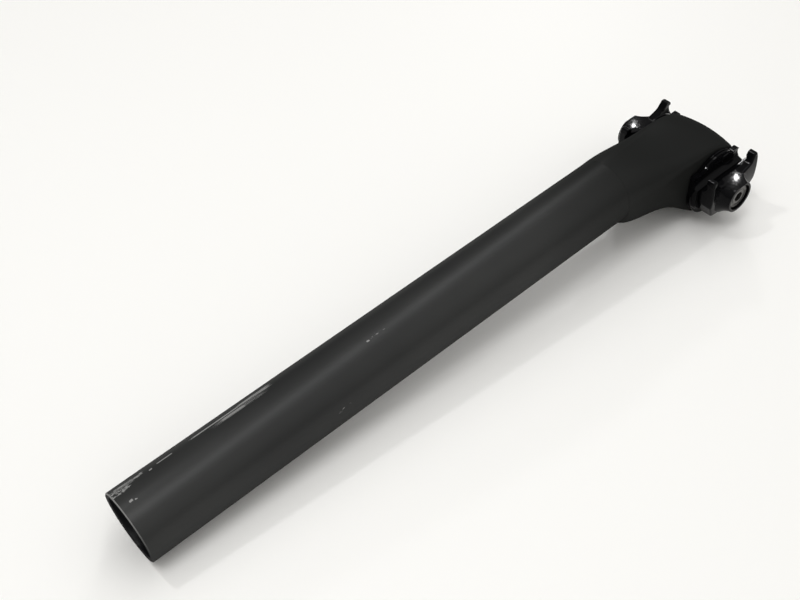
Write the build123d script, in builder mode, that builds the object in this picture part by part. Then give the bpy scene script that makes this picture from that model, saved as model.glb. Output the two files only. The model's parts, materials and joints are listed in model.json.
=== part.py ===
"""Bicycle seatpost: a carbon tube with a set-back barrel head and a side-bolt saddle clamp.

The post lies on its back, as it comes to rest on a table: the open rim of the tube and the barrel of the
head touch the ground. X runs along the tube to the head, Z is up, and the rider's left is -Y.
"""

import os
from math import asin, atan2, cos, hypot, sin

from build123d import *

os.makedirs("parts", exist_ok=True)

# Tube
tube_radius = 31.6 / 2
tube_wall = 2.2
tube_length = 260.0
bore_stop = 8.0
rim_break = 0.4

# Head: the barrel lies across the post, behind the tube's axis
head_rise = 60.0
setback = 20.3
barrel_end_radius = 19.0
barrel_crown = 2.0
barrel_half_width = 17.0
barrel_round = 2.5

# Neck: a broad shoulder above the tube, a waist, and a flare into the barrel
shoulder_lip = 0.05
shoulder_along = 11.0
shoulder_half_width = tube_radius + 0.7
shoulder_front = tube_radius - 0.5
shoulder_back = tube_radius - 0.8
shoulder_crown = 0.3
shoulder_round = 11.5
waist_along = 28.0
waist_half_width = barrel_half_width - 0.4
waist_front = tube_radius
waist_back = tube_radius - 3.8
waist_crown = 0.7
waist_round = 8.0
flare_before = 18.0
flare_half_width = barrel_half_width - 0.4
flare_front = barrel_end_radius - 1.4
flare_back = barrel_end_radius - 5.8
flare_crown = 1.6
flare_round = 4.0

# Bolt: a low-head M8 cap screw with a hexagon socket, and its nut
bolt_radius = 4.0
bolt_tip_chamfer = 0.8
bolt_head_radius = 6.5
bolt_head_height = 5.0
bolt_head_chamfer = 0.6
socket_flats = 5.0
socket_depth = 3.2
head_ring_radius = 4.3
head_ring_width = 0.5
head_ring_depth = 0.3
nut_flats = 12.0
nut_height = 6.5
bolt_past_nut = 1.0

# Clearances
bolt_clearance = 0.4
thread_clearance = 0.3
pivot_clearance = 0.3
seat_clearance = 0.2
head_clearance = 0.4
nut_clearance = 0.15
rail_clearance = 0.1
jaw_gap = 0.5

# Saddle rails: two round rods, each in a channel outside one end of the barrel
rail_radius = 3.5
rail_offset = 5.5
rail_height = 9.4
channel_mouth = 5.5

# Inner ears: round seats on the barrel's ends, with two tabs and a shelf for the rail
seat_radius = 17.2
seat_flange = 0.9
seat_groove = 0.8
seat_groove_width = 0.8
pivot_radius = 8.0
pivot_depth = 3.0
tab_inner = 11.0
tab_outer = 17.0
tab_top = 12.8
tab_root = 2.0
tab_round = 2.5
pad_half_length = 11.8
pad_radius = 16.2
pad_rise = 0.5
pad_bottom = 2.0
pad_round = 2.5
shelf_bottom = 7.5
shelf_round = 4.0

# Outer ears: hooked jaws with a boss for the bolt's head or the nut, with depths from the rail outward
jaw_middle = 2.0
jaw_half_length = 16.9
jaw_valley = 7.2
finger_root = 5.0
finger_heel_along = 11.6
finger_heel_height = 9.4
finger_inner = 14.0
finger_outer = 16.2
finger_top = 13.9
finger_shoulder = 11.4
jaw_side_bottom = -2.0
jaw_corner_along = 12.6
jaw_corner_height = -11.0
jaw_bottom_along = 5.5
jaw_bottom_height = -12.4
jaw_round = 3.0
finger_round = 1.05
jaw_crown_depth = 7.6
jaw_crown_height = 3.0
jaw_top_depth = 6.6
jaw_foot_depth = 4.5
jaw_edge_round = 1.0
boss_radius = 8.2
boss_depth = 13.0
boss_rim_round = 0.3
boss_waist_depth = 9.8
boss_waist_radius = 9.3
boss_foot_depth = 7.0
boss_foot_radius = 11.6
head_recess = 1.0

# How the post lies: the tube's open rim and the barrel touch the ground
barrel_along = tube_length + head_rise
rest_length = barrel_along - rim_break
rest_drop = setback - tube_radius
barrel_radius = barrel_end_radius + barrel_crown
lie = atan2(rest_drop, rest_length) + asin(barrel_radius / hypot(rest_length, rest_drop))
reach_back = tube_radius * sin(lie)
jaw_reach = jaw_middle + jaw_half_length
reach_front = (barrel_along + jaw_reach) * cos(lie) + (setback - jaw_side_bottom) * sin(lie)

axis_dir = Vector(cos(lie), 0, sin(lie))
front_dir = Vector(-sin(lie), 0, cos(lie))
left_dir = Vector(0, -1, 0)
right_dir = Vector(0, 1, 0)

open_end = Vector((reach_back - reach_front) / 2, 0, tube_radius * cos(lie) - rim_break * sin(lie))
tube_end = open_end + axis_dir * tube_length
barrel_centre = open_end + axis_dir * barrel_along - front_dir * setback
barrel_axis = Axis(barrel_centre, right_dir)
neck_length = hypot(head_rise, setback)
neck_dir = (barrel_centre - tube_end).normalized()

# Places along the bolt, outward from the middle of the barrel
rail_out = barrel_half_width + rail_offset
seat_back = barrel_half_width + seat_clearance
seat_face = rail_out - channel_mouth / 2
hook_face = rail_out + channel_mouth / 2
shelf_face = rail_out - jaw_gap / 2
jaw_face = rail_out + jaw_gap / 2
jaw_top_edge = rail_out + jaw_top_depth
jaw_foot_edge = rail_out + jaw_foot_depth
jaw_crown = rail_out + jaw_crown_depth
boss_foot = rail_out + boss_foot_depth
boss_waist = rail_out + boss_waist_depth
boss_face = rail_out + boss_depth
head_top = boss_face - head_recess
head_floor = head_top - bolt_head_height
nut_floor = head_top - nut_height
bolt_length = head_floor + head_top + bolt_past_nut
hook_top = finger_top + finger_round
hook_bottom = jaw_bottom_height - jaw_round


def tube_plane(along):
    """Plane square to the tube, with x to the rider's right and y to the front."""
    return Plane(open_end + axis_dir * along, x_dir=right_dir, z_dir=axis_dir)


def neck_plane(along):
    """Plane square to the neck's centre line, with x to the rider's right and y to the front."""
    return Plane(tube_end + neck_dir * along, x_dir=right_dir, z_dir=neck_dir)


def left_plane(outward):
    """Side view from the rider's left, with x along the rails and y to the front."""
    return Plane(barrel_centre + left_dir * outward, x_dir=axis_dir, z_dir=left_dir)


def right_plane(outward):
    """Side view from the rider's right, with x along the rails and y to the front."""
    return Plane(barrel_centre + right_dir * outward, x_dir=-axis_dir, z_dir=right_dir)


across_plane = Plane(barrel_centre, x_dir=left_dir, z_dir=-axis_dir)


def neck_section(half_width, front, back, corner, crown):
    """Rounded section across the neck, with its front and back bowed out by the crown."""
    with BuildSketch() as section:
        with BuildLine():
            ThreePointArc((-half_width, -back), (0, -back - crown), (half_width, -back))
            Line((half_width, -back), (half_width, front))
            ThreePointArc((half_width, front), (0, front + crown), (-half_width, front))
            Line((-half_width, front), (-half_width, -back))
        make_face()
        fillet(section.vertices(), corner)
    return section.sketch


barrel_section = neck_section(
    barrel_half_width, barrel_end_radius, barrel_end_radius, barrel_round, barrel_crown
)

# Post: the round tube runs through the neck into the crowned barrel, as one moulding
with BuildPart() as post:
    with BuildSketch(tube_plane(tube_length)):
        neck_foot = 2 * (tube_radius + shoulder_lip)
        RectangleRounded(neck_foot, neck_foot, tube_radius)
    with BuildSketch(neck_plane(shoulder_along)):
        add(neck_section(shoulder_half_width, shoulder_front, shoulder_back, shoulder_round, shoulder_crown))
    with BuildSketch(neck_plane(waist_along)):
        add(neck_section(waist_half_width, waist_front, waist_back, waist_round, waist_crown))
    with BuildSketch(neck_plane(neck_length - flare_before)):
        add(neck_section(flare_half_width, flare_front, flare_back, flare_round, flare_crown))
    with BuildSketch(neck_plane(neck_length)):
        add(barrel_section)
    loft()
    with BuildSketch(neck_plane(neck_length)):
        add(barrel_section)
        with Locations((0, -barrel_radius)):
            Rectangle(2 * barrel_half_width, 2 * barrel_radius, mode=Mode.SUBTRACT)
    revolve(axis=barrel_axis, revolution_arc=180)
    with BuildSketch(tube_plane(0)):
        Circle(tube_radius)
    extrude(amount=tube_length)
    with BuildSketch(tube_plane(0)):
        Circle(tube_radius - tube_wall)
    extrude(amount=tube_length - bore_stop, mode=Mode.SUBTRACT)
    chamfer(post.edges().filter_by(GeomType.CIRCLE).sort_by(Axis(open_end, axis_dir))[:2], rim_break)
    with BuildSketch(left_plane(-seat_back)):
        Circle(bolt_radius + bolt_clearance)
    extrude(amount=2 * seat_back, mode=Mode.SUBTRACT)
    with BuildSketch(left_plane(seat_back), right_plane(seat_back)):
        Circle(pivot_radius + pivot_clearance)
    extrude(amount=-(seat_clearance + pivot_depth + pivot_clearance), mode=Mode.SUBTRACT)
post.part.label = "post"
export_step(post.part, "parts/post.step")

# Inner ear: it turns on the barrel's end by its round pivot
with BuildPart() as inner_ear_left:
    with BuildSketch(left_plane(seat_back)):
        Circle(seat_radius)
    extrude(amount=seat_face - seat_back)
    with BuildSketch(left_plane(seat_back + seat_flange)):
        Circle(seat_radius)
        Circle(seat_radius - seat_groove, mode=Mode.SUBTRACT)
    extrude(amount=seat_groove_width, mode=Mode.SUBTRACT)
    with BuildSketch(left_plane(seat_back)):
        tab_length = tab_outer - tab_inner
        with Locations(((tab_inner + tab_outer) / 2, 0), (-(tab_inner + tab_outer) / 2, 0)):
            with Locations((0, (tab_top - tab_root) / 2)):
                RectangleRounded(tab_length, tab_top + tab_root, tab_round)
    extrude(amount=seat_face - seat_back)
    with BuildSketch(left_plane(seat_face)):
        with Locations((0, (rail_height - shelf_bottom) / 2)):
            RectangleRounded(2 * tab_outer, rail_height + shelf_bottom, shelf_round)
    extrude(amount=shelf_face - seat_face)
    with BuildSketch(left_plane(seat_face)) as pad:
        with Locations((0, pad_bottom)):
            Rectangle(2 * pad_half_length, pad_radius, align=(Align.CENTER, Align.MIN))
        Circle(pad_radius, mode=Mode.INTERSECT)
        fillet(pad.vertices(), pad_round)
    extrude(amount=pad_rise)
    with BuildSketch(across_plane):
        with Locations((rail_out, rail_height)):
            Circle(rail_radius + rail_clearance)
    extrude(amount=jaw_reach, both=True, mode=Mode.SUBTRACT)
    with BuildSketch(left_plane(seat_back)):
        Circle(pivot_radius)
    extrude(amount=-(pivot_depth + seat_clearance))
    with BuildSketch(left_plane(0)):
        Circle(bolt_radius + bolt_clearance)
    extrude(amount=shelf_face, mode=Mode.SUBTRACT)
inner_ear_left.part.label = "inner_ear_left"
export_step(inner_ear_left.part, "parts/inner_ear_left.step")

with BuildPart() as inner_ear_right:
    mirror(inner_ear_left.part, about=Plane.XZ)
inner_ear_right.part.label = "inner_ear_right"
export_step(inner_ear_right.part, "parts/inner_ear_right.step")

# Outer ear: a side outline and a hooked cross-section, with a flared boss level with the valley
jaw_outline = [
    (finger_root, jaw_valley),
    (finger_heel_along, finger_heel_height),
    (finger_inner, finger_top),
    (finger_outer, finger_top),
    (jaw_half_length, finger_shoulder),
    (jaw_half_length, jaw_side_bottom),
    (jaw_corner_along, jaw_corner_height),
    (jaw_bottom_along, jaw_bottom_height),
]
with BuildSketch(left_plane(jaw_face)) as jaw_side:
    with Locations((jaw_middle, 0)):
        Polygon(*jaw_outline, *[(-along, height) for along, height in reversed(jaw_outline)], align=None)
    fillet(jaw_side.vertices().sort_by(Axis.Y)[:-4], jaw_round)
    fillet(jaw_side.vertices().sort_by(Axis.Y)[-4:], finger_round)

with BuildPart() as boss:
    with BuildSketch(across_plane):
        with BuildLine():
            Polyline(
                (boss_foot, boss_foot_radius),
                (jaw_face, boss_foot_radius),
                (jaw_face, 0),
                (boss_face, 0),
                (boss_face, boss_radius),
            )
            ThreePointArc(
                (boss_face, boss_radius), (boss_waist, boss_waist_radius), (boss_foot, boss_foot_radius)
            )
        make_face()
    revolve(axis=barrel_axis)
    fillet(boss.faces().sort_by(Axis(barrel_centre, left_dir))[-1].edges(), boss_rim_round)
    with BuildSketch(left_plane(jaw_face)):
        with Locations((0, jaw_valley)):
            Rectangle(2 * boss_foot_radius, 2 * boss_foot_radius, align=(Align.CENTER, Align.MAX))
    extrude(amount=boss_face - jaw_face, mode=Mode.INTERSECT)

with BuildPart() as jaw:
    extrude(jaw_side.sketch, amount=boss_face - jaw_face)
    with BuildSketch(across_plane):
        with BuildLine():
            Polyline(
                (jaw_top_edge, hook_top),
                (hook_face, hook_top),
                (hook_face, rail_height),
                (jaw_face, rail_height),
                (jaw_face, hook_bottom),
                (jaw_foot_edge, hook_bottom),
            )
            ThreePointArc(
                (jaw_foot_edge, hook_bottom), (jaw_crown, jaw_crown_height), (jaw_top_edge, hook_top)
            )
        make_face()
    extrude(amount=jaw_reach, both=True, mode=Mode.INTERSECT)
    crown = jaw.faces().filter_by(GeomType.CYLINDER).sort_by(SortBy.AREA)[-1]
    fillet(crown.edges(), jaw_edge_round)
    add(boss.part)
    with BuildSketch(across_plane):
        with Locations((rail_out, rail_height)):
            Circle(rail_radius + rail_clearance)
    extrude(amount=jaw_reach, both=True, mode=Mode.SUBTRACT)
    with BuildSketch(left_plane(jaw_face)):
        Circle(bolt_radius + bolt_clearance)
    extrude(amount=boss_face - jaw_face, mode=Mode.SUBTRACT)

with BuildPart() as outer_ear_left:
    add(jaw.part)
    with BuildSketch(left_plane(head_floor)):
        Circle(bolt_head_radius + head_clearance)
    extrude(amount=boss_face - head_floor, mode=Mode.SUBTRACT)
outer_ear_left.part.label = "outer_ear_left"
export_step(outer_ear_left.part, "parts/outer_ear_left.step")

with BuildPart() as outer_ear_right:
    mirror(jaw.part, about=Plane.XZ)
    with BuildSketch(right_plane(nut_floor)):
        RegularPolygon(nut_flats / 2 + nut_clearance, 6, major_radius=False)
    extrude(amount=boss_face - nut_floor, mode=Mode.SUBTRACT)
outer_ear_right.part.label = "outer_ear_right"
export_step(outer_ear_right.part, "parts/outer_ear_right.step")

# Bolt: its head sits in the left boss and its thread reaches the nut in the right one
with BuildPart() as clamp_bolt:
    with BuildSketch(left_plane(head_floor)):
        Circle(bolt_head_radius)
    extrude(amount=bolt_head_height)
    head_face = clamp_bolt.faces().sort_by(Axis(barrel_centre, left_dir))[-1]
    chamfer(head_face.edges(), bolt_head_chamfer)
    with BuildSketch(left_plane(head_top)):
        RegularPolygon(socket_flats / 2, 6, major_radius=False)
    extrude(amount=-socket_depth, mode=Mode.SUBTRACT)
    with BuildSketch(left_plane(head_top)):
        Circle(head_ring_radius + head_ring_width / 2)
        Circle(head_ring_radius - head_ring_width / 2, mode=Mode.SUBTRACT)
    extrude(amount=-head_ring_depth, mode=Mode.SUBTRACT)
    with BuildSketch(left_plane(head_floor)):
        Circle(bolt_radius)
    extrude(amount=-bolt_length)
    bolt_tip = clamp_bolt.faces().sort_by(Axis(barrel_centre, left_dir))[0]
    chamfer(bolt_tip.edges(), bolt_tip_chamfer)
clamp_bolt.part.label = "clamp_bolt"
export_step(clamp_bolt.part, "parts/clamp_bolt.step")

with BuildPart() as clamp_nut:
    with BuildSketch(right_plane(nut_floor)):
        RegularPolygon(nut_flats / 2, 6, major_radius=False)
        Circle(bolt_radius + thread_clearance, mode=Mode.SUBTRACT)
    extrude(amount=nut_height)
clamp_nut.part.label = "clamp_nut"
export_step(clamp_nut.part, "parts/clamp_nut.step")
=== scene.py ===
"""Bicycle seatpost: finishes for the carbon post and its saddle clamp, and the stage they lie on."""

import json
from math import asin, pi, radians

import bpy
from bpy.props import FloatProperty, FloatVectorProperty, PointerProperty
from bpy.types import Operator, Panel, PropertyGroup
from mathutils import Matrix, Vector


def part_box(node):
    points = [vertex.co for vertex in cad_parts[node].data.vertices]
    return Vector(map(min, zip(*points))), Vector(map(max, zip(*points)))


bl_info = {
    "name": "Bicycle Seatpost",
    "version": (1, 0, 0),
    "blender": (4, 5, 0),
    "location": "3D View > Sidebar > Seatpost",
    "description": "Finishes a carbon seatpost with a side-bolt saddle clamp and sets its stage",
    "category": "Object",
}

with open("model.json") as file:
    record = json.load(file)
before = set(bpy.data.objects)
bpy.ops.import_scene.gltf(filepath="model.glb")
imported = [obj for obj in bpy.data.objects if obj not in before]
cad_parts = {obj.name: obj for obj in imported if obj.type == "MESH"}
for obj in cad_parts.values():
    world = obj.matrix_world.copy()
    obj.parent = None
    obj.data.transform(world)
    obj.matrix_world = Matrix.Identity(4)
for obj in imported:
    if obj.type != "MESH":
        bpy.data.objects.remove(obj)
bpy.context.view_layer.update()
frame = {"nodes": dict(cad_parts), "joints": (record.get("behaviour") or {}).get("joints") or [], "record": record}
NODES = frame["nodes"]
SEAT_TUBE = next(mount for mount in frame["record"]["mounts"] if mount["name"] == "seat_tube")
TILT = next(joint for joint in frame["joints"] if joint["name"] == "tilt_left")


# Places and levels

# Lengths are in metres where nothing else is said. A pair of numbers is the two ends of a change, which is 0
# at the first and 1 at the second.
MM_PER_METRE = 1000

# The tube, which every pattern on the post is laid out from: its middle, the angle at which it lies, its
# radius and half its length
TUBE_MIDDLE = Vector(SEAT_TUBE["pos_m"])
TUBE_LIE = asin(-SEAT_TUBE["axis"][2])
TUBE_RADIUS = SEAT_TUBE["dims"]["r_mm"] / MM_PER_METRE
TUBE_HALF = SEAT_TUBE["dims"]["length_mm"] / MM_PER_METRE / 2

# Where the post changes its finish, out from the tube's axis: its outer skin and the edge of its rim
SKIN = (TUBE_RADIUS - 0.0012, TUBE_RADIUS - 0.0008)
RIM_EDGE = (TUBE_RADIUS - 0.0005, TUBE_RADIUS - 0.0004)

# Where the post changes its finish along the tube from its middle: the face of the open end, the end of the
# bore and the start of the matt head
OPEN_FACE = (-TUBE_HALF + 0.0003, -TUBE_HALF + 0.0001)
BORE_END = (TUBE_HALF, TUBE_HALF - 0.004)
HEAD_START = (TUBE_HALF - 0.07, TUBE_HALF + 0.03)

# The side of the rim whose outer edge is pale, partly bare carbon and partly a painted highlight, in degrees: its
# direction around the tube, and how far from there the pale edge reaches
RIM_HIGHLIGHT_DIRECTION = -20.0
RIM_HIGHLIGHT_REACH = (115.0, 20.0)

# The lacquer's grain and clouds in features per metre, their stretch along the tube, the clouds' levels at
# which it looks rubbed, and the grain's bump
LACQUER_GRAIN = 1100.0
LACQUER_CLOUDS = 40.0
LACQUER_STRETCH = (0.5, 1.0, 1.0)
LACQUER_RUBBED = (0.3, 0.75)
LACQUER_BUMP = 0.12
LACQUER_BUMP_DEPTH = 0.00008

# The post's roughness, and what clouds, the head and scuffs add to it and the bore takes away
SATIN = 0.5
CLOUD_DULLNESS = 0.12
HEAD_DULLNESS = 0.2
SCUFF_DULLNESS = 0.15
BORE_SMOOTHNESS = 0.38

# The lacquer's thin gloss, which the head has less of
LACQUER_GLOSS = 0.12
HEAD_GLOSS_LOSS = 0.09
LACQUER_GLOSS_ROUGHNESS = 0.32
LACQUER_GLOSS_IOR = 2.4

# Scratches in features per metre along the tube and per degree around it
SCRATCHES_ALONG = 34.0
SCRATCHES_AROUND = 1.5

# How a patch of wear fades, as a share of its half size, and how sharply its grain is cut off
SCUFF_FADE = (1.0, 0.35)
SCUFF_CUT = (0.0, 0.12)

# Wear on the tube: distance from the open end and half length in millimetres, direction around the tube and
# half width in degrees, how much of the patch is bare, and whether it is scratched or speckled
SCUFFS = {
    "rim wear": (3.5, 9.0, -25.0, 18.0, 0.55, "specks"),
    "rim scratches": (6.0, 9.0, -29.0, 11.0, 0.56, "scratches"),
    "rim rub": (12.0, 5.0, -30.0, 6.0, 0.60, "specks"),
    "rim fleck": (4.6, 1.3, 4.0, 3.2, 0.72, "specks"),
    "faint fleck": (6.6, 1.0, 6.0, 2.4, 0.58, "specks"),
    "lone fleck": (17.4, 1.4, -24.0, 3.5, 0.62, "specks"),
    "short scratch": (24.0, 5.0, -27.0, 1.6, 0.95, "scratches"),
    "long scratch": (48.0, 19.0, -29.0, 2.4, 0.85, "scratches"),
    "paired scratches": (55.0, 11.0, -22.0, 6.0, 0.62, "scratches"),
    "upper scratches": (66.0, 15.0, -30.0, 8.0, 0.60, "scratches"),
    "fine scratches": (58.0, 26.0, -25.0, 14.0, 0.50, "scratches"),
    "handling marks": (121.0, 8.0, 10.0, 5.0, 0.46, "specks"),
    "handling fleck": (115.5, 1.2, 12.0, 2.6, 0.64, "specks"),
    "near flecks": (92.0, 7.0, 77.0, 6.0, 0.43, "specks"),
}

# Dust on the ears: its grain in features per metre, the grain's levels at which it shows, how many times
# paler than the coat it is, and the roughness that it adds
DUST_GRAIN = 1500.0
DUST_LEVELS = (0.62, 0.8)
DUST_PALENESS = 4.0
DUST_DULLNESS = 0.06

# The ears' coat: its ripple in features per metre, the ripple's bump, the coat's roughness and its gloss
COAT_RIPPLE = 380.0
COAT_RIPPLE_BUMP = 0.03
COAT_RIPPLE_DEPTH = 0.00015
COAT_ROUGHNESS = 0.035
COAT_GLOSS = 0.08

# The bolt: a point on its axis, the outer face of its head and the pitch of its thread
BOLT_PLACE = Vector(TILT["pos_m"])
BOLT_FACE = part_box("clamp_bolt")[0][1]
THREAD_PITCH = 0.00125

# The socket in the bolt's head, painted darker than the steel as painted shade: its depth from the face inwards
# and its far end, both across the post, and its radius
SOCKET_DEPTH = (BOLT_FACE + 0.0004, BOLT_FACE + 0.0014)
SOCKET_END = (0.0, -0.005)
SOCKET_RADIUS = (0.0036, 0.0031)

# The threaded hole in the nut: its radius, and its start across the post
NUT_HOLE_RADIUS = (0.0046, 0.0044)
NUT_HOLE_START = (0.016, 0.018)

# The steel's turning marks and patina in features per metre, the marks' height beside the thread's, the grain's
# levels at which patina shows, how dark patina and the socket's painted shade are beside clean steel, and how much
# of the metal that painted shade hides
TURNING_MARKS = 5200.0
TURNING_HEIGHT = 0.1
PATINA_GRAIN = 620.0
PATINA_LEVELS = (0.35, 0.75)
PATINA_SHADE = 0.6
SOCKET_PAINTED_SHADE = 0.12
SOCKET_SHADE_COVER = 0.6

# The steel's roughness, what patina and the shaded socket add to it, and the bump of its turning marks and thread
STEEL_ROUGHNESS = 0.26
PATINA_DULLNESS = 0.2
SOCKET_DULLNESS = 0.3
STEEL_BUMP = 0.6
STEEL_BUMP_DEPTH = 0.0002

# The floor's roughness and the strength of its gloss
FLOOR_ROUGHNESS = 0.5
FLOOR_GLOSS = 0.25

# Lamps: place, turn about X, Y and Z in degrees, length and width, and the setting that holds the power.
# The two sparks stand where the sides of the outer ears mirror them to the camera.
LAMPS = {
    "key_light": ((-0.5, -0.13, 1.25), (0.0, -22.0, 0.0), (0.4, 0.4), "key_power"),
    "near_spark": ((0.982, 0.4905, 1.03), (-22.0, 39.0, 0.0), (0.005, 0.005), "spark_power"),
    "far_spark": ((0.933, 0.675, 0.994), (-27.0, 39.0, 0.0), (0.005, 0.005), "spark_power"),
    "far_lamp": ((1.03, 0.85, 0.67), (-45.0, 40.0, 0.0), (0.07, 0.07), "lamp_power"),
    "back_lamp": ((-0.31, 0.43, 1.03), (-22.0, -22.0, 0.0), (0.07, 0.07), "lamp_power"),
    "strip_light": ((0.42, 0.32, 1.3), (0.0, 0.0, 49.5), (2.4, 0.22), "strip_power"),
}

# The room's tint, and how high its walls turn into the ceiling, as the sine of the angle above the horizon
ROOM_TINT = (1.0, 0.99, 0.97, 1.0)
ROOM_RISE = (0.0, 0.8)

# The width of the camera's sensor in millimetres
SENSOR_WIDTH = 36.0

# The colour sockets of a Mix node, by their place
MIX_FIRST = 6
MIX_SECOND = 7
MIX_RESULT = 2


# Settings


class SeatpostFinish(PropertyGroup):
    """Colours of the post, its wear and its clamp."""

    tube_colour: FloatVectorProperty(
        name="Tube",
        description="Black lacquer, rubbed by the frame",
        subtype="COLOR",
        default=(0.019, 0.0195, 0.0195),
    )
    tube_rub: FloatVectorProperty(
        name="Rubbed tube",
        description="Lacquer dulled by handling",
        subtype="COLOR",
        default=(0.025, 0.0255, 0.025),
    )
    head_colour: FloatVectorProperty(
        name="Head",
        description="Matt black of the neck and head",
        subtype="COLOR",
        default=(0.0135, 0.014, 0.0135),
    )
    scuff_colour: FloatVectorProperty(
        name="Scuffs",
        description="Pale scratches near the open end",
        subtype="COLOR",
        default=(0.27, 0.27, 0.265),
    )
    # Pale edge of the open end on one side: partly bare carbon, partly a painted highlight
    rim_edge_and_highlight_colour: FloatVectorProperty(
        name="Rim edge",
        description="Bare edge of the open end",
        subtype="COLOR",
        default=(0.24, 0.24, 0.235),
    )
    bore_colour: FloatVectorProperty(
        name="Bore",
        description="Resin inside the tube",
        subtype="COLOR",
        default=(0.006, 0.006, 0.007),
    )
    ear_colour: FloatVectorProperty(
        name="Ears",
        description="Gloss black on the clamp's ears",
        subtype="COLOR",
        default=(0.003, 0.003, 0.0035),
    )
    steel_colour: FloatVectorProperty(
        name="Bolt",
        description="Dark plating on the bolt and the nut",
        subtype="COLOR",
        default=(0.115, 0.112, 0.108),
    )


class SeatpostStage(PropertyGroup):
    """Floor, light and camera."""

    floor_colour: FloatVectorProperty(
        name="Floor",
        description="Pale floor",
        subtype="COLOR",
        default=(0.93, 0.925, 0.905),
    )
    floor_size: FloatProperty(
        name="Floor size",
        description="Side of the floor",
        unit="LENGTH",
        default=30.0,
    )
    key_power: FloatProperty(
        name="Key light",
        description="Power of the light by the open end",
        unit="POWER",
        default=3.3,
    )
    lamp_power: FloatProperty(
        name="Lamps",
        description="Power of each small lamp",
        unit="POWER",
        default=1.4,
    )
    spark_power: FloatProperty(
        name="Sparks",
        description="Power of each pin lamp for the ears' gloss",
        unit="POWER",
        default=0.042,
    )
    strip_power: FloatProperty(
        name="Strip light",
        description="Power of the long light overhead",
        unit="POWER",
        default=5.4,
    )
    wall_level: FloatProperty(
        name="Walls",
        description="Brightness of the room at the horizon",
        default=0.22,
    )
    ceiling_level: FloatProperty(
        name="Ceiling",
        description="Brightness of the room overhead",
        default=0.66,
    )
    near_side: FloatProperty(
        name="Near side",
        description="Share that the room gains on the near side and loses beyond the post",
        subtype="FACTOR",
        default=0.5,
    )
    camera_place: FloatVectorProperty(
        name="Camera",
        description="Where the camera stands",
        subtype="XYZ",
        unit="LENGTH",
        default=(-0.23942, -0.23853, 0.37348),
    )
    camera_aim: FloatVectorProperty(
        name="Aim",
        description="Point on the floor that the camera looks at",
        subtype="XYZ",
        unit="LENGTH",
        default=(-0.00505, 0.03523, 0.0),
    )
    camera_roll: FloatProperty(
        name="Roll",
        description="Turn of the camera about its view",
        subtype="ANGLE",
        default=radians(-0.164),
    )
    lens: FloatProperty(
        name="Lens",
        description="Focal length in millimetres",
        unit="CAMERA",
        default=49.9,
    )


# Node helpers


def calc(tree, operation, *inputs):
    """The result of one sum, from sockets or plain numbers."""
    node = tree.nodes.new("ShaderNodeMath")
    node.operation = operation
    for place, value in enumerate(inputs):
        if isinstance(value, (int, float)):
            node.inputs[place].default_value = value
        else:
            tree.links.new(value, node.inputs[place])
    return node.outputs[0]


def plus(tree, first, second):
    """First and second added."""
    return calc(tree, "ADD", first, second)


def minus(tree, first, second):
    """Second taken from first."""
    return calc(tree, "SUBTRACT", first, second)


def times(tree, first, second):
    """First and second multiplied."""
    return calc(tree, "MULTIPLY", first, second)


def distance(tree, first, second):
    """The length of a line from its two sides."""
    return calc(tree, "SQRT", plus(tree, times(tree, first, first), times(tree, second, second)))


def ramp(tree, value, start, end):
    """0 up to start and 1 from end on, smooth between; start may be the larger."""
    node = tree.nodes.new("ShaderNodeMapRange")
    node.interpolation_type = "SMOOTHSTEP"
    tree.links.new(value, node.inputs["Value"])
    node.inputs["From Min"].default_value = min(start, end)
    node.inputs["From Max"].default_value = max(start, end)
    node.inputs["To Min"].default_value = 0.0 if start < end else 1.0
    node.inputs["To Max"].default_value = 1.0 if start < end else 0.0
    return node.outputs["Result"]


def noise(tree, vector, scale, detail=3.0, roughness=0.5):
    """Noise between 0 and 1; scale is a number or a socket."""
    node = tree.nodes.new("ShaderNodeTexNoise")
    node.inputs["Detail"].default_value = detail
    node.inputs["Roughness"].default_value = roughness
    if isinstance(scale, float):
        node.inputs["Scale"].default_value = scale
    else:
        tree.links.new(scale, node.inputs["Scale"])
    tree.links.new(vector, node.inputs["Vector"])
    return node.outputs["Fac"]


def blend(tree, factor, first, second):
    """Colour between first and second, each a socket or a plain colour."""
    node = tree.nodes.new("ShaderNodeMix")
    node.data_type = "RGBA"
    tree.links.new(factor, node.inputs["Factor"])
    for place, value in ((MIX_FIRST, first), (MIX_SECOND, second)):
        if hasattr(value, "is_output"):
            tree.links.new(value, node.inputs[place])
        else:
            node.inputs[place].default_value = (*value, 1.0)
    return node.outputs[MIX_RESULT]


def shade(colour, share):
    """A plain colour made darker or paler."""
    return tuple(share * level for level in colour)


def bump(tree, height, strength, depth):
    """A normal raised by height."""
    node = tree.nodes.new("ShaderNodeBump")
    node.inputs["Strength"].default_value = strength
    node.inputs["Distance"].default_value = depth
    tree.links.new(height, node.inputs["Height"])
    return node.outputs["Normal"]


def new_material(name):
    """A material with only its surface shader, and the tree to build in."""
    material = bpy.data.materials.new(name)
    material.use_nodes = True
    tree = material.node_tree
    tree.nodes.clear()
    shader = tree.nodes.new("ShaderNodeBsdfPrincipled")
    output = tree.nodes.new("ShaderNodeOutputMaterial")
    tree.links.new(shader.outputs["BSDF"], output.inputs["Surface"])
    return material, tree, shader


def new_group(name, inputs, outputs):
    """A shader node group with named sockets: numbers, but for one called Vector."""
    group = bpy.data.node_groups.new(name, "ShaderNodeTree")
    for way, labels in (("INPUT", inputs), ("OUTPUT", outputs)):
        for label in labels:
            kind = "NodeSocketVector" if label == "Vector" else "NodeSocketFloat"
            group.interface.new_socket(label, in_out=way, socket_type=kind)
    start = group.nodes.new("NodeGroupInput")
    end = group.nodes.new("NodeGroupOutput")
    return group, start.outputs, end.inputs


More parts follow.
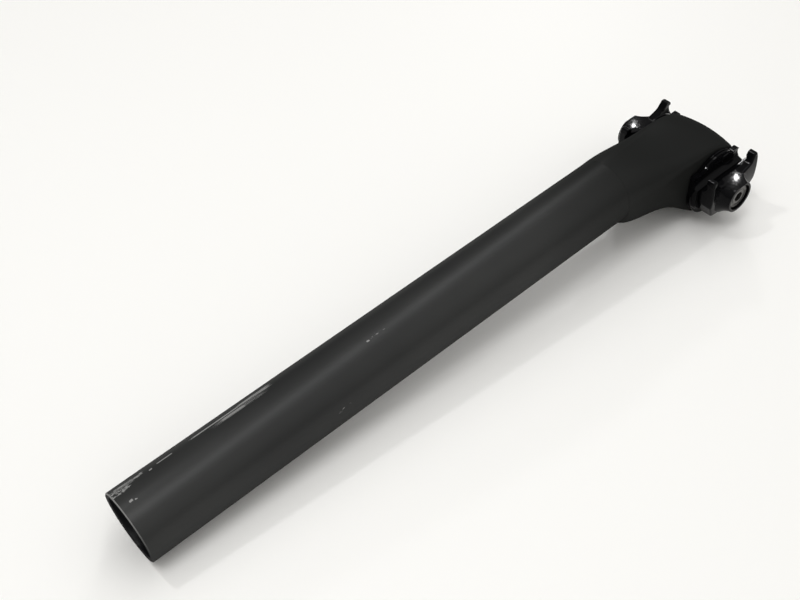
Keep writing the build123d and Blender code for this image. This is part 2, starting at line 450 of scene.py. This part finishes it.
def place_group(tree, group, **values):
    """Places a group, with a socket to link or a number to set for each input.

    An input's name is its label in small letters, with _ for a space.
    """
    node = tree.nodes.new("ShaderNodeGroup")
    node.node_tree = group
    for name, value in values.items():
        socket = node.inputs[name.replace("_", " ").title()]
        if isinstance(value, (int, float)):
            socket.default_value = value
        else:
            tree.links.new(value, socket)
    return node.outputs


def paint(node_name, material):
    """Gives a CAD node one material all over."""
    slots = NODES[node_name].data.materials
    slots.clear()
    slots.append(material)


# Effects that are used more than once


def grain_group():
    """Fine and broad unevenness of a surface, with scales in features per metre; shared by all finishes."""
    group = bpy.data.node_groups.get("Surface Grain")
    if group is None:
        inputs = ("Vector", "Fine Scale", "Broad Scale")
        group, given, result = new_group("Surface Grain", inputs, ("Fine", "Broad"))
        fine = noise(group, given["Vector"], given["Fine Scale"], detail=4.0, roughness=0.62)
        broad = noise(group, given["Vector"], given["Broad Scale"], detail=2.0)
        group.links.new(fine, result["Fine"])
        group.links.new(broad, result["Broad"])
    return group


def scuff_group():
    """A patch of wear on the tube, given by its place along and around it; grain breaks it up."""
    group, given, result = new_group(
        "Scuff Patch",
        ("Along", "Around", "Middle", "Half Length", "Direction", "Half Width", "Grain", "Cover"),
        ("Mask",),
    )

    def inside(value, middle, half):
        """1 near the middle, and 0 from the patch's edge on."""
        offset = calc(group, "ABSOLUTE", minus(group, value, middle))
        return ramp(group, calc(group, "DIVIDE", offset, half), *SCUFF_FADE)

    patch = times(
        group,
        inside(given["Along"], given["Middle"], given["Half Length"]),
        inside(given["Around"], given["Direction"], given["Half Width"]),
    )
    bare = minus(group, times(group, patch, given["Cover"]), given["Grain"])
    group.links.new(ramp(group, bare, *SCUFF_CUT), result["Mask"])
    return group


# Finishes


def tube_coordinates(tree):
    """Position with X along the tube from its middle, that X, the direction around it and the distance out.

    The direction is in degrees, 0 at the front of the post, and grows towards the rider's left.
    """
    place = tree.nodes.new("ShaderNodeTexCoord")
    mapping = tree.nodes.new("ShaderNodeMapping")
    mapping.vector_type = "TEXTURE"
    mapping.inputs["Location"].default_value = TUBE_MIDDLE
    mapping.inputs["Rotation"].default_value = (0.0, -TUBE_LIE, 0.0)
    tree.links.new(place.outputs["Object"], mapping.inputs["Vector"])
    parts = tree.nodes.new("ShaderNodeSeparateXYZ")
    tree.links.new(mapping.outputs["Vector"], parts.inputs["Vector"])
    left = times(tree, parts.outputs["Y"], -1.0)
    around = calc(tree, "DEGREES", calc(tree, "ARCTAN2", left, parts.outputs["Z"]))
    radius = distance(tree, left, parts.outputs["Z"])
    return mapping.outputs["Vector"], parts.outputs["X"], around, radius


def tube_wear(tree, along, around, specks):
    """All the tube's patches of scratches and specks in one mask."""
    unrolled = tree.nodes.new("ShaderNodeCombineXYZ")
    tree.links.new(times(tree, along, SCRATCHES_ALONG), unrolled.inputs["X"])
    tree.links.new(times(tree, around, SCRATCHES_AROUND), unrolled.inputs["Y"])
    scratches = noise(tree, unrolled.outputs["Vector"], scale=1.0, roughness=0.55)
    marks = {"scratches": scratches, "specks": specks}
    scuff = scuff_group()
    wear = None
    for middle, half_length, direction, half_width, cover, kind in SCUFFS.values():
        patch = place_group(
            tree,
            scuff,
            along=along,
            around=around,
            middle=middle / MM_PER_METRE - TUBE_HALF,
            half_length=half_length / MM_PER_METRE,
            direction=direction,
            half_width=half_width,
            grain=marks[kind],
            cover=cover,
        )
        wear = patch["Mask"] if wear is None else calc(tree, "MAXIMUM", wear, patch["Mask"])
    return wear


def carbon_material(finish):
    """Black carbon: a satin tube, scratched near its open end, a rim whose outer edge is pale on one side (partly
    bare carbon, partly a painted highlight), a dark bore and a matt head.
    """
    material, tree, shader = new_material("black_carbon")
    vector, along, around, radius = tube_coordinates(tree)
    lengthwise = tree.nodes.new("ShaderNodeMapping")
    lengthwise.inputs["Scale"].default_value = LACQUER_STRETCH
    tree.links.new(vector, lengthwise.inputs["Vector"])
    grain = place_group(
        tree,
        grain_group(),
        vector=lengthwise.outputs["Vector"],
        fine_scale=LACQUER_GRAIN,
        broad_scale=LACQUER_CLOUDS,
    )
    cloud = grain["Broad"]

    outside = ramp(tree, radius, *SKIN)
    wear = times(tree, tube_wear(tree, along, around, grain["Fine"]), outside)
    head = ramp(tree, along, *HEAD_START)
    face = ramp(tree, along, *OPEN_FACE)
    edge = ramp(tree, radius, *RIM_EDGE)
    # The rim's outer edge is pale on one side only: partly bare carbon, partly a painted highlight
    from_highlight_side = calc(tree, "ABSOLUTE", minus(tree, around, RIM_HIGHLIGHT_DIRECTION))
    rim = times(tree, times(tree, face, edge), ramp(tree, from_highlight_side, *RIM_HIGHLIGHT_REACH))
    hollow = times(tree, minus(tree, 1.0, outside), ramp(tree, along, *BORE_END))
    wall_end = times(tree, face, minus(tree, 1.0, edge))
    bore = calc(tree, "MAXIMUM", hollow, wall_end)

    colour = blend(tree, ramp(tree, cloud, *LACQUER_RUBBED), finish.tube_colour, finish.tube_rub)
    colour = blend(tree, head, colour, finish.head_colour)
    colour = blend(tree, wear, colour, finish.scuff_colour)
    colour = blend(tree, bore, colour, finish.bore_colour)
    colour = blend(tree, rim, colour, finish.rim_edge_and_highlight_colour)
    tree.links.new(colour, shader.inputs["Base Color"])

    satin = plus(tree, SATIN, times(tree, cloud, CLOUD_DULLNESS))
    satin = plus(tree, satin, times(tree, head, HEAD_DULLNESS))
    satin = plus(tree, satin, times(tree, wear, SCUFF_DULLNESS))
    satin = minus(tree, satin, times(tree, bore, BORE_SMOOTHNESS))
    tree.links.new(satin, shader.inputs["Roughness"])
    lacquer = bump(tree, grain["Fine"], LACQUER_BUMP, LACQUER_BUMP_DEPTH)
    tree.links.new(lacquer, shader.inputs["Normal"])

    gloss = minus(tree, LACQUER_GLOSS, times(tree, head, HEAD_GLOSS_LOSS))
    gloss = times(tree, gloss, minus(tree, 1.0, wear))
    tree.links.new(gloss, shader.inputs["Coat Weight"])
    shader.inputs["Coat Roughness"].default_value = LACQUER_GLOSS_ROUGHNESS
    shader.inputs["Coat IOR"].default_value = LACQUER_GLOSS_IOR
    shader.inputs["Specular IOR Level"].default_value = 0.0
    return material


def ear_material(finish):
    """Gloss black over forged aluminium, with the faint ripple of a sprayed coat and a little dust."""
    material, tree, shader = new_material("gloss_black_ears")
    place = tree.nodes.new("ShaderNodeTexCoord")
    coat = place_group(
        tree,
        grain_group(),
        vector=place.outputs["Object"],
        fine_scale=DUST_GRAIN,
        broad_scale=COAT_RIPPLE,
    )
    dust = ramp(tree, coat["Fine"], *DUST_LEVELS)
    colour = blend(tree, dust, finish.ear_colour, shade(finish.ear_colour, DUST_PALENESS))
    tree.links.new(colour, shader.inputs["Base Color"])
    roughness = plus(tree, COAT_ROUGHNESS, times(tree, dust, DUST_DULLNESS))
    tree.links.new(roughness, shader.inputs["Roughness"])
    ripple = bump(tree, coat["Broad"], COAT_RIPPLE_BUMP, COAT_RIPPLE_DEPTH)
    tree.links.new(ripple, shader.inputs["Normal"])
    shader.inputs["Specular IOR Level"].default_value = COAT_GLOSS
    return material


def steel_material(finish):
    """Dark plated steel, turned about the bolt's axis, with painted shade in its socket and a thread in the nut.
    """
    material, tree, shader = new_material("dark_plated_steel")
    place = tree.nodes.new("ShaderNodeTexCoord")
    centre = tree.nodes.new("ShaderNodeVectorMath")
    centre.operation = "SUBTRACT"
    centre.inputs[1].default_value = BOLT_PLACE
    tree.links.new(place.outputs["Object"], centre.inputs[0])
    parts = tree.nodes.new("ShaderNodeSeparateXYZ")
    tree.links.new(centre.outputs["Vector"], parts.inputs["Vector"])
    across = parts.outputs["Y"]
    radius = distance(tree, parts.outputs["X"], parts.outputs["Z"])
    rings = tree.nodes.new("ShaderNodeCombineXYZ")
    tree.links.new(radius, rings.inputs["X"])
    tree.links.new(across, rings.inputs["Y"])
    turning = noise(tree, rings.outputs["Vector"], TURNING_MARKS, detail=2.0)
    grain = place_group(tree, grain_group(), vector=centre.outputs["Vector"], fine_scale=PATINA_GRAIN)
    patina = grain["Fine"]

    # The socket is painted darker and less metallic than the steel: painted shade in the recess
    deep = times(tree, ramp(tree, across, *SOCKET_DEPTH), ramp(tree, across, *SOCKET_END))
    socket = times(tree, deep, ramp(tree, radius, *SOCKET_RADIUS))
    dulled = shade(finish.steel_colour, PATINA_SHADE)
    socket_shade_colour = shade(finish.steel_colour, SOCKET_PAINTED_SHADE)
    colour = blend(tree, ramp(tree, patina, *PATINA_LEVELS), finish.steel_colour, dulled)
    tree.links.new(blend(tree, socket, colour, socket_shade_colour), shader.inputs["Base Color"])
    dullness = plus(tree, times(tree, patina, PATINA_DULLNESS), times(tree, socket, SOCKET_DULLNESS))
    tree.links.new(plus(tree, STEEL_ROUGHNESS, dullness), shader.inputs["Roughness"])
    tree.links.new(minus(tree, 1.0, times(tree, socket, SOCKET_SHADE_COVER)), shader.inputs["Metallic"])

    thread = calc(tree, "SINE", times(tree, across, 2 * pi / THREAD_PITCH))
    hole = times(tree, ramp(tree, radius, *NUT_HOLE_RADIUS), ramp(tree, across, *NUT_HOLE_START))
    height = plus(tree, times(tree, turning, TURNING_HEIGHT), times(tree, thread, hole))
    tree.links.new(bump(tree, height, STEEL_BUMP, STEEL_BUMP_DEPTH), shader.inputs["Normal"])
    return material


def floor_material(colour):
    """Pale, slightly glossy floor that keeps the object's shadow."""
    material, _, shader = new_material("pale_floor")
    shader.inputs["Base Color"].default_value = (*colour, 1.0)
    shader.inputs["Roughness"].default_value = FLOOR_ROUGHNESS
    shader.inputs["Specular IOR Level"].default_value = FLOOR_GLOSS
    return material


# Operators


class SEATPOST_OT_carbon_post(Operator):
    """Finish the one-piece carbon post"""

    bl_idname = "seatpost.carbon_post"
    bl_label = "Carbon Post"

    def execute(self, context):
        paint("post", carbon_material(context.scene.seatpost_finish))
        return {"FINISHED"}


class SEATPOST_OT_clamp_ears(Operator):
    """Finish the inner and outer ears of the saddle clamp"""

    bl_idname = "seatpost.clamp_ears"
    bl_label = "Clamp Ears"

    def execute(self, context):
        gloss = ear_material(context.scene.seatpost_finish)
        for name in ("inner_ear_left", "inner_ear_right", "outer_ear_left", "outer_ear_right"):
            paint(name, gloss)
        return {"FINISHED"}


class SEATPOST_OT_bolt_and_nut(Operator):
    """Finish the clamp's bolt and nut"""

    bl_idname = "seatpost.bolt_and_nut"
    bl_label = "Bolt and Nut"

    def execute(self, context):
        steel = steel_material(context.scene.seatpost_finish)
        for name in ("clamp_bolt", "clamp_nut"):
            paint(name, steel)
        return {"FINISHED"}


def soft_light(name, place, turn, size, power):
    """A rectangular area light that faces down before it is turned."""
    bpy.ops.object.light_add(type="AREA", location=place, rotation=[radians(angle) for angle in turn])
    light = bpy.context.object
    light.name = name
    light.data.shape = "RECTANGLE"
    light.data.size = size[0]
    light.data.size_y = size[1]
    light.data.energy = power


class SEATPOST_OT_stage(Operator):
    """Lay the pale floor and set the lights, the room and the camera"""

    bl_idname = "seatpost.stage"
    bl_label = "Stage"

    def execute(self, context):
        stage = context.scene.seatpost_stage
        bpy.ops.object.select_all(action="DESELECT")
        bpy.ops.mesh.primitive_plane_add(size=stage.floor_size, location=(0.0, 0.0, 0.0))
        floor = context.object
        floor.name = "floor"
        floor.data.materials.append(floor_material(stage.floor_colour))
        for name, (place, turn, size, power) in LAMPS.items():
            soft_light(name, place, turn, size, getattr(stage, power))
        self.light_room(context, stage)
        self.place_camera(context, stage)
        context.scene.view_settings.view_transform = "Standard"
        return {"FINISHED"}

    def light_room(self, context, stage):
        """A plain room, brighter overhead than at the horizon and on the near side than beyond the post."""
        world = bpy.data.worlds.new("room")
        context.scene.world = world
        world.use_nodes = True
        tree = world.node_tree
        tree.nodes.clear()
        place = tree.nodes.new("ShaderNodeTexCoord")
        parts = tree.nodes.new("ShaderNodeSeparateXYZ")
        room = tree.nodes.new("ShaderNodeBackground")
        output = tree.nodes.new("ShaderNodeOutputWorld")
        tree.links.new(place.outputs["Generated"], parts.inputs["Vector"])
        height = ramp(tree, parts.outputs["Z"], *ROOM_RISE)
        rise = times(tree, height, stage.ceiling_level - stage.wall_level)
        level = plus(tree, rise, stage.wall_level)
        side = minus(tree, 1.0, times(tree, parts.outputs["Y"], stage.near_side))
        tree.links.new(times(tree, level, side), room.inputs["Strength"])
        room.inputs["Color"].default_value = ROOM_TINT
        tree.links.new(room.outputs["Background"], output.inputs["Surface"])

    def place_camera(self, context, stage):
        """A camera that looks down along the post from beyond its open end, on the rider's left."""
        place = Vector(stage.camera_place)
        view = (Vector(stage.camera_aim) - place).to_track_quat("-Z", "Y").to_matrix().to_4x4()
        bpy.ops.object.camera_add()
        camera = context.object
        camera.name = "camera"
        camera.matrix_world = Matrix.Translation(place) @ view @ Matrix.Rotation(stage.camera_roll, 4, "Z")
        camera.data.sensor_width = SENSOR_WIDTH
        camera.data.lens = stage.lens
        context.scene.camera = camera


class SEATPOST_PT_panel(Panel):
    """Lists the seatpost's settings and steps"""

    bl_idname = "SEATPOST_PT_panel"
    bl_label = "Seatpost"
    bl_space_type = "VIEW_3D"
    bl_region_type = "UI"
    bl_category = "Seatpost"

    def draw(self, context):
        for settings in (context.scene.seatpost_finish, context.scene.seatpost_stage):
            column = self.layout.column()
            for name in settings.__annotations__:
                column.prop(settings, name)
        for step in STEPS:
            self.layout.operator(step.bl_idname)


STEPS = (SEATPOST_OT_carbon_post, SEATPOST_OT_clamp_ears, SEATPOST_OT_bolt_and_nut, SEATPOST_OT_stage)
CLASSES = (SeatpostFinish, SeatpostStage, *STEPS, SEATPOST_PT_panel)


def register():
    """Registers the classes and gives the scene its settings."""
    for cls in CLASSES:
        bpy.utils.register_class(cls)
    bpy.types.Scene.seatpost_finish = PointerProperty(type=SeatpostFinish)
    bpy.types.Scene.seatpost_stage = PointerProperty(type=SeatpostStage)


def unregister():
    """Takes the settings and the classes away again."""
    del bpy.types.Scene.seatpost_stage
    del bpy.types.Scene.seatpost_finish
    for cls in reversed(CLASSES):
        bpy.utils.unregister_class(cls)


def main():
    register()
    bpy.ops.seatpost.carbon_post()
    bpy.ops.seatpost.clamp_ears()
    bpy.ops.seatpost.bolt_and_nut()
    bpy.ops.seatpost.stage()


if __name__ == "__main__":
    main()
